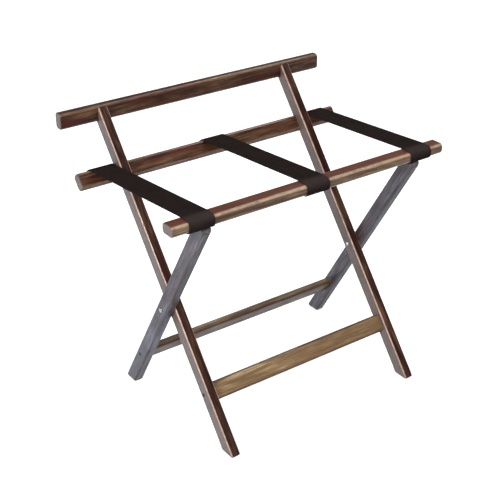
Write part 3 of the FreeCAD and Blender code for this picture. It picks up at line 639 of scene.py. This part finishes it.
screw_shape = turned("screw_shape", [
    (-0.0013, lambda a: cross_recess(a) * 0.2), (-0.0012, lambda a: cross_recess(a) * 0.6),
    (-0.0001, cross_recess), (0.0, lambda a: cross_recess(a) + 0.0001), (0.0, 0.0026),
    (-0.0001, 0.0032), (-0.0003, screw_head_radius), (-0.0005, screw_head_radius),
    (-screw_head_thick, screw_shank_radius + 0.0004), (-screw_head_thick, screw_shank_radius),
    (-0.015, screw_shank_radius)]
    + threaded(-0.0155, -screw_long + screw_tip_long, screw_shank_radius, screw_pitch)
    + [(-screw_long + screw_tip_long, screw_shank_radius * 0.9), (-screw_long, 0.0002)])
bronze = plated_steel("screw_bronze", (0.13, 0.10, 0.075), (0.055, 0.042, 0.034), 0.30, 0.46)
for stretcher, across, body in (("front_stretcher", long_leg_across, "back_frame"),
                                ("rear_stretcher", short_leg_across, "seat_frame")):
    head_across = across + leg_half_thick - screw_sunk
    ends = [(middle_of(stretcher) + Vector((side * head_across, 0, 0)), Vector((side, 0, 0)))
            for side in (-1, 1)]
    fastened(stretcher + "_woodscrews", screw_shape, ends, bronze, body,
             [stretcher + "_screws"], lean=0.01, seed=8)


# ---- Straps -----------------------------------------------------------------------------------
# Three bands of heavy ribbed webbing, 51 mm wide and 2 mm thick, woven in near-black brown. Each
# starts under the front seat rail, is drawn round its front and over its top to the rear seat
# rail, and is tacked down that rail's back. The ends are cut hot, which seals the yarns.

webbing_wide = 0.051
webbing_half_thick = 0.001
webbing_clear = 0.0003
strap_tuck = 0.014
strap_tail = 0.019
strap_inset = 0.031
strap_leg_clear = 0.0004
selvedge_wide = 0.0011
rib_count = 20
rib_relief = 0.14
yarn_fuzz = 0.00004
band_wander = 0.0003
station_spacing = 0.004
bend_spacing = 0.16


def side_view(vector):
    """A place seen from the side: how far back, and how high."""
    return Vector((vector.y, vector.z))


up_leg = Vector((math.cos(long_leg_lean), math.sin(long_leg_lean)))
ahead = Vector((-math.sin(long_leg_lean), math.cos(long_leg_lean)))
front_middle = side_view(middle_of("front_seat_rail"))
rear_middle = side_view(middle_of("rear_seat_rail"))
flat_half_wide = rail_half_wide - rail_rounding
flat_half_thick = rail_half_thick - rail_rounding
bends = [
    front_middle + Vector((-flat_half_wide, -flat_half_thick)),
    front_middle + Vector((-flat_half_wide, flat_half_thick)),
    front_middle + Vector((flat_half_wide, flat_half_thick)),
    rear_middle + up_leg * flat_half_wide + ahead * flat_half_thick,
    rear_middle + up_leg * flat_half_wide - ahead * flat_half_thick,
]
headings = [Vector((-1, 0))]
headings += [(after - before).normalized() for before, after in zip(bends, bends[1:])]
headings.append(-up_leg)


def left_of(heading):
    """A quarter turn to the left, which is away from the wood."""
    return Vector((-heading.y, heading.x))


# The middle of the band's thickness, as stations: a place, the way out of the wood, and how far
# along the band it is.
bend_radius = rail_rounding + webbing_clear + webbing_half_thick
stations = []


def go_to(place, out):
    """Adds one station."""
    travelled = stations[-1][2] + (place - stations[-1][0]).length if stations else 0.0
    stations.append((place, out, travelled))


def go_straight(start, end, out):
    """Adds the stations of a straight length."""
    count = max(1, round((end - start).length / station_spacing))
    for i in range(count + 1):
        if i or not stations:
            go_to(start.lerp(end, i / count), out)


at = bends[0] + left_of(headings[0]) * bend_radius - headings[0] * (strap_tuck - rail_rounding)
for middle, coming, going in zip(bends, headings, headings[1:]):
    entry = middle + left_of(coming) * bend_radius
    go_straight(at, entry, left_of(coming))
    swing = coming.angle(going)
    count = max(2, round(swing / bend_spacing))
    for i in range(1, count + 1):
        angle = swing * i / count
        out = left_of(coming)
        out = Vector((out.x * math.cos(angle) + out.y * math.sin(angle),
                      out.y * math.cos(angle) - out.x * math.sin(angle)))
        go_to(middle + out * bend_radius, out)
    at = middle + left_of(going) * bend_radius
go_straight(at, at + headings[-1] * strap_tail, left_of(headings[-1]))
strap_long = stations[-1][2]


def band_section():
    """Half the thickness at places across the band: ribs, thinned off at the selvedges."""
    steps = rib_count * 4
    places = []
    for i in range(steps + 1):
        across = (i / steps - 0.5) * webbing_wide
        rib = abs(math.cos(math.pi * rib_count * (i / steps)))
        left_to_edge = webbing_wide / 2 - abs(across)
        into_selvedge = max(0.0, 1 - left_to_edge / selvedge_wide)
        selvedge = math.sqrt(max(0.0, 1 - into_selvedge ** 2))
        places.append((across, webbing_half_thick * (1 - rib_relief * rib ** 3) * selvedge))
    return places


def strap_band(name, front_across, beside_leg_across):
    """One strap; it drifts sideways to the rear, from its place on the front rail to its place
    beside the long leg."""
    leg_up = front_middle.y - rail_half_thick - 2 * rail_half_wide - pivot.z
    leg_front = pivot.y + (leg_up * math.cos(long_leg_lean) - leg_half_wide) / math.sin(
        long_leg_lean)
    drift = (beside_leg_across - front_across) / (leg_front - front_middle.x)
    section = band_section()
    count = len(section)
    points, along = [], []
    for place, out, travelled in stations:
        middle = front_across + drift * (place.x - front_middle.x)
        middle += band_wander * noise.noise(Vector((front_across * 9, travelled * 16, 0)))
        for face in (1, -1):
            ring = section if face == 1 else section[-2:0:-1]
            for across, half in ring:
                fuzz = yarn_fuzz * noise.noise(Vector((across * 900, travelled * 700,
                                                       front_across * 50 + face)))
                spot = place + out * (face * half + fuzz)
                points.append((middle + across, spot.x, spot.y))
                along.append((across, travelled))
    ring = 2 * count - 2
    faces = []
    for station in range(len(stations) - 1):
        for i in range(ring):
            a, b = station * ring + i, station * ring + (i + 1) % ring
            faces.append((a, b, b + ring, a + ring))
    for base, order in ((0, -1), ((len(stations) - 1) * ring, 1)):
        for i in range(count - 1):
            under, under_next = (ring - i) % ring, ring - i - 1
            corners = dict.fromkeys((base + i, base + i + 1, base + under_next, base + under))
            faces.append(tuple(corners)[::order])
    mesh = bpy.data.meshes.new(name)
    mesh.from_pydata(points, [], faces)
    weave = mesh.uv_layers.new(name="weave")
    for loop in mesh.loops:
        weave.data[loop.index].uv = along[loop.vertex_index]
    mesh.shade_smooth()
    mesh.set_sharp_from_angle(angle=math.radians(60))
    return put_in_scene(name, mesh)


webbing, tree, shader = finish_of("black_webbing")
on_band = add_node(tree, "ShaderNodeUVMap", uv_map="weave").outputs[0]
across, travelled = add_node(tree, "ShaderNodeSeparateXYZ", {0: on_band}).outputs[:2]
yarn_pitch = webbing_wide / rib_count / 2
pick_pitch = 0.0017
yarn = calc(tree, "DIVIDE", across, yarn_pitch)
yarn_round = calc(tree, "ABSOLUTE", calc(tree, "SINE", calc(tree, "MULTIPLY", yarn, math.pi)))
slant = calc(tree, "MULTIPLY_ADD", calc(tree, "FRACT", yarn), 0.45,
             calc(tree, "MULTIPLY", calc(tree, "FLOOR", yarn), 0.5))
pick = calc(tree, "ADD", calc(tree, "DIVIDE", travelled, pick_pitch), slant)
pick = calc(tree, "SINE", calc(tree, "MULTIPLY", pick, 2 * math.pi))
over = calc(tree, "MULTIPLY_ADD", pick, 0.32, 0.68)
weave_height = calc(tree, "MULTIPLY", yarn_round, over)
touch = place_group(tree, handling, {"Vector": own_place(tree), "Scale": 45.0})
# The weave is painted darker down in its hollows between the yarns: painted shade.
tone = blend_colours(tree, weave_height, (0.0022, 0.0013, 0.0010), (0.0125, 0.0068, 0.0053))
tone = blend_colours(tree, calc(tree, "MULTIPLY", touch["Smears"], 0.3), tone,
                     (0.015, 0.0098, 0.0080))
# Lighter on the top of the front bend, where the band faces up: partly wear over the rail's nose
# and partly a painted highlight.
front_bend_along = next(along for _, out, along in stations if out.y > 0.7)
from_bend = calc(tree, "ABSOLUTE", calc(tree, "SUBTRACT", travelled, front_bend_along + 0.006))
bend_wear_and_highlight = calc(tree, "SUBTRACT", 1.0, fade(tree, from_bend, 0.004, 0.022))
tone = blend_colours(tree, calc(tree, "MULTIPLY", bend_wear_and_highlight, 0.4), tone, (0.040, 0.030, 0.028))
to_end = calc(tree, "MINIMUM", travelled, calc(tree, "SUBTRACT", strap_long, travelled))
sealed = fade(tree, to_end, 0.0006, 0.0016, 1.0, 0.0)
tone = blend_colours(tree, sealed, tone, (0.004, 0.0035, 0.0035))
tree.links.new(tone, shader.inputs["Base Color"])
tree.links.new(calc(tree, "MULTIPLY_ADD", sealed, -0.35, 0.82), shader.inputs["Roughness"])
shader.inputs["Specular IOR Level"].default_value = 0.05
shader.inputs["Sheen Weight"].default_value = 0.008
shader.inputs["Sheen Roughness"].default_value = 0.45
add_bump(tree, shader, weave_height, 0.8, 0.0004)

outer_front = half_length - strap_inset - webbing_wide / 2
outer_beside_leg = long_leg_across + leg_half_thick + strap_leg_clear + webbing_wide / 2
for side, name in ((-1, "left"), (0, "middle"), (1, "right")):
    strap = strap_band("webbing_" + name, side * outer_front, side * outer_beside_leg)
    strap.data.materials.append(webbing)
    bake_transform(strap)
    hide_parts("strap_" + name)


# ---- Strap tacks ------------------------------------------------------------------------------
# Blued steel upholstery tacks with low domed heads, two through each strap end: up into the front
# rail's underside, and into the rear rail's back. They are hammered in by hand, so none is quite
# square.

tack_head_radius = 0.003
tack_head_thick = 0.001
tack_shank_radius = 0.0009
tack_long = 0.010
tack_places_across = (0.006, half_length - strap_inset - 0.007, half_length - strap_inset - 0.019)
skin = webbing_clear + 2 * webbing_half_thick

tack_shape = turned("tack_shape", [
    (tack_head_thick, 0.0002), (0.00098, 0.0009), (0.00090, 0.0016), (0.00076, 0.0022),
    (0.00055, 0.0027), (0.00030, 0.00295), (0.00012, tack_head_radius), (0.0, 0.00294),
    (0.0, tack_shank_radius), (-0.006, tack_shank_radius * 0.8), (-tack_long + 0.001, 0.0003),
    (-tack_long, 0.0001)])
blued = plated_steel("tack_blued", (0.085, 0.085, 0.095), (0.035, 0.034, 0.036), 0.28, 0.48)
front_tack = front_middle + Vector((-rail_half_wide + rail_rounding
                                    + (strap_tuck - rail_rounding) / 2, -rail_half_thick - skin))
rear_tack = (rear_middle + up_leg * (rail_half_wide - rail_rounding - strap_tail / 2)
             - ahead * (rail_half_thick + skin))
for name, spot, out, body, replaced in (
        ("front_tacks", front_tack, Vector((0, -1)), "seat_frame", "strap_tacks_front"),
        ("rear_tacks", rear_tack, -ahead, "back_frame", "strap_tacks_rear")):
    places = [((side * across, *spot), (0, *out)) for across in tack_places_across
              for side in (-1, 1)]
    fastened(name, tack_shape, places, blued, body, [replaced], lean=0.04, seed=6)

for shape in (bolt_shape, nut_shape, screw_shape, tack_shape):
    bpy.data.objects.remove(shape)


# ---- Floor, light and camera ------------------------------------------------------------------
# A plain white floor in a white surround. Two wide suns overhead do most of the work, and lamps
# at the left, in front and at the right draw the highlights along the rounded edges. The lacquer
# mirrors a grey surround with three soft tinted patches, and not the floor.

floor_mesh = bpy.data.meshes.new("floor")
floor_reach = 9
floor_corners = [(floor_reach * x, floor_reach * y, 0)
                 for x, y in ((-1, -1), (1, -1), (1, 1), (-1, 1))]
floor_mesh.from_pydata(floor_corners, [], [(0, 1, 2, 3)])
floor = put_in_scene("floor", floor_mesh)
floor_paint, tree, shader = finish_of("floor_paint")
shader.inputs["Base Color"].default_value = (0.90, 0.90, 0.90, 1)
shader.inputs["Roughness"].default_value = 0.7
floor_mesh.materials.append(floor_paint)
floor.visible_glossy = False

world = bpy.data.worlds.new("surround")
world.use_nodes = True
backdrop = world.node_tree.nodes["Background"]
tree = world.node_tree
ray = add_node(tree, "ShaderNodeTexCoord").outputs["Generated"]
surround = (0.16, 0.17, 0.19)
patch_full = 0.98
for way, spread, colour in (((-0.51, 0.72, -0.47), 0.75, (1.1, 1.26, 1.48)),
                            ((0.51, -0.72, -0.47), 0.85, (1.0, 0.85, 0.7)),
                            ((0.40, 0.0, -0.92), 0.72, (0.75, 0.86, 1.0))):
    nearness = add_node(tree, "ShaderNodeVectorMath", {0: ray, 1: way},
                        operation="DOT_PRODUCT").outputs["Value"]
    surround = blend_colours(tree, fade(tree, nearness, spread, patch_full), surround, colour)
seen = add_node(tree, "ShaderNodeLightPath").outputs["Is Camera Ray"]
tree.links.new(blend_colours(tree, seen, surround, (1.0, 1.0, 1.0)), backdrop.inputs["Color"])
bpy.context.scene.world = world


rack_middle = Vector((0, 0, 0.27))


def hang_light(name, kind, place, in_gloss=True, **settings):
    """A light that faces the middle of the rack; without in_gloss it makes no highlight."""
    lamp = bpy.data.lights.new(name, kind)
    for setting, value in settings.items():
        setattr(lamp, setting, value)
    holder = put_in_scene(name, lamp)
    holder.location = place
    holder.visible_glossy = in_gloss
    holder.rotation_mode = "QUATERNION"
    holder.rotation_quaternion = (rack_middle - Vector(place)).to_track_quat("-Z", "Y")


hang_light("ceiling_light", "SUN", (1.0, -0.5, 3.4), in_gloss=False, energy=2.0,
           angle=math.radians(80))
hang_light("fill_light", "SUN", (0.6, -0.8, 3.4), in_gloss=False, energy=2.0, use_shadow=False)
hang_light("left_light", "AREA", (-2.4, -0.9, 1.3), shape="SQUARE", size=0.7, energy=85,
           color=(0.88, 0.94, 1.0))
hang_light("front_light", "AREA", (-1.4, -2.6, 1.9), shape="SQUARE", size=0.5, energy=16)
hang_light("right_light", "AREA", (1.25, 0.45, 2.3), shape="SQUARE", size=0.6, energy=16)

camera_turn = math.radians(-35.648)
camera_height_angle = math.radians(28.363)
lens = bpy.data.cameras.new("camera")
lens.sensor_width = 36.0
lens.lens = 77.92
camera = put_in_scene("camera", lens)
camera.location = (-1.0950, -1.4972, 1.2636)
camera.rotation_euler = (math.pi / 2 - camera_height_angle, 0, camera_turn)
bpy.context.scene.camera = camera
bpy.context.scene.view_settings.view_transform = "Standard"
